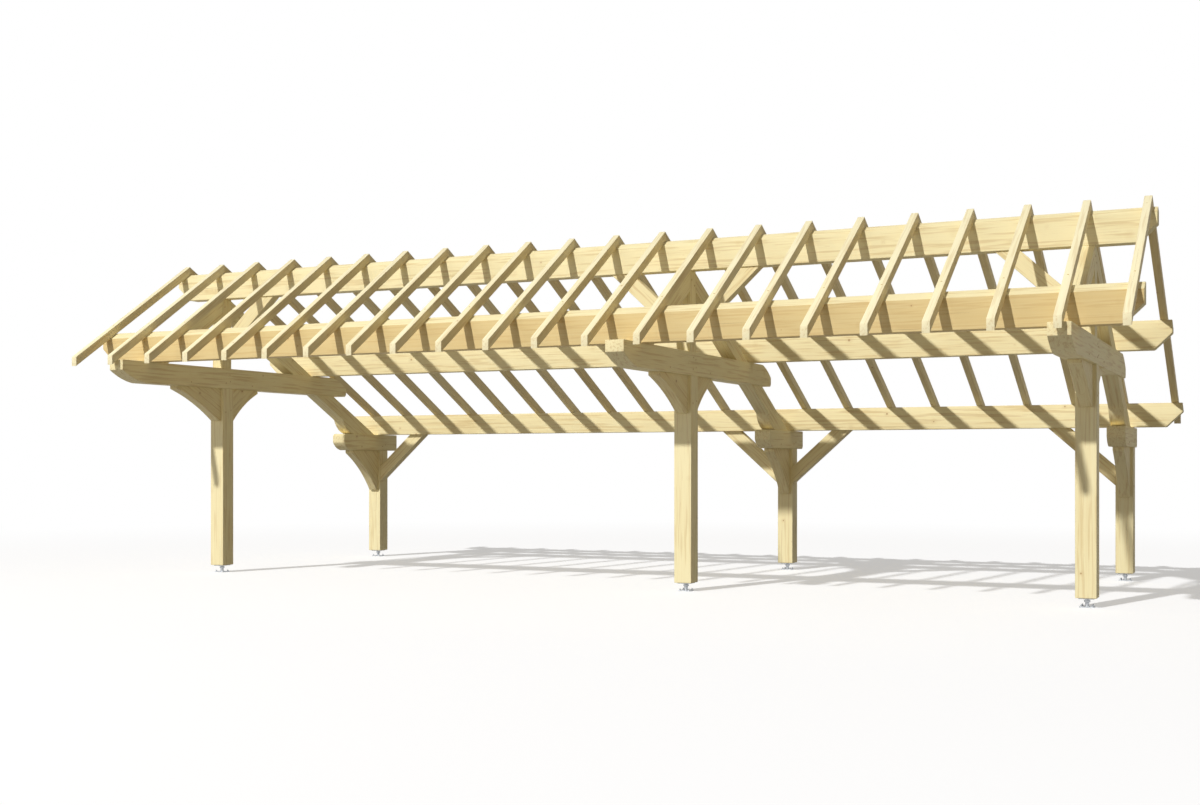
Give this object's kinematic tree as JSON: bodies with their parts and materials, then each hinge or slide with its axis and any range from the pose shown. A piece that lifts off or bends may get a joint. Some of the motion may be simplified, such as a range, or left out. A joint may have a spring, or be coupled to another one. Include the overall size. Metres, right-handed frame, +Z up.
{
  "type": "open timber frame carport",
  "caption": "Open post-and-beam carport frame in pale timber, with a saltbox rafter roof, cantilevered front, curved braces and steel post bases.",
  "frame": {"origin": "middle of the frame's plan, on the floor that the post bases stand on", "axes": "+X along the ridge towards the short bay, +Y from the cantilevered front to the rear, +Z up"},
  "size_m": [13, 6.37, 4.3099],
  "materials": {
    "timber": "planed pale pine",
    "steel": "galvanised"
  },
  "bodies": {
    "root": {"front_post_left": "timber", "front_post_middle": "timber", "front_post_right": "timber", "rear_post_left": "timber", "rear_post_middle": "timber", "rear_post_right": "timber", "tie_beam_left": "timber", "tie_beam_middle": "timber", "tie_beam_right": "timber", "hammer_beam_left": "timber", "hammer_beam_middle": "timber", "hammer_beam_right": "timber", "king_post_left": "timber", "king_post_middle": "timber", "king_post_right": "timber", "front_principal_left": "timber", "front_principal_middle": "timber", "front_principal_right": "timber", "rear_principal_left": "timber", "rear_principal_middle": "timber", "rear_principal_right": "timber", "front_braces_left": "timber", "front_braces_middle": "timber", "front_braces_right": "timber", "rear_braces_left": "timber", "rear_braces_middle": "timber", "rear_braces_right": "timber", "ridge_brace_left": "timber", "ridge_braces_middle": "timber", "ridge_brace_right": "timber", "ridge_beam": "timber", "front_plate": "timber", "rear_purlin": "timber", "rear_plate": "timber", "front_rafters_long_bay": "timber", "front_rafters_short_bay": "timber", "rear_rafters_long_bay": "timber", "rear_rafters_short_bay": "timber", "front_base_left": "steel", "front_base_middle": "steel", "front_base_right": "steel", "rear_base_left": "steel", "rear_base_middle": "steel", "rear_base_right": "steel"}
  },
  "joints": []
}
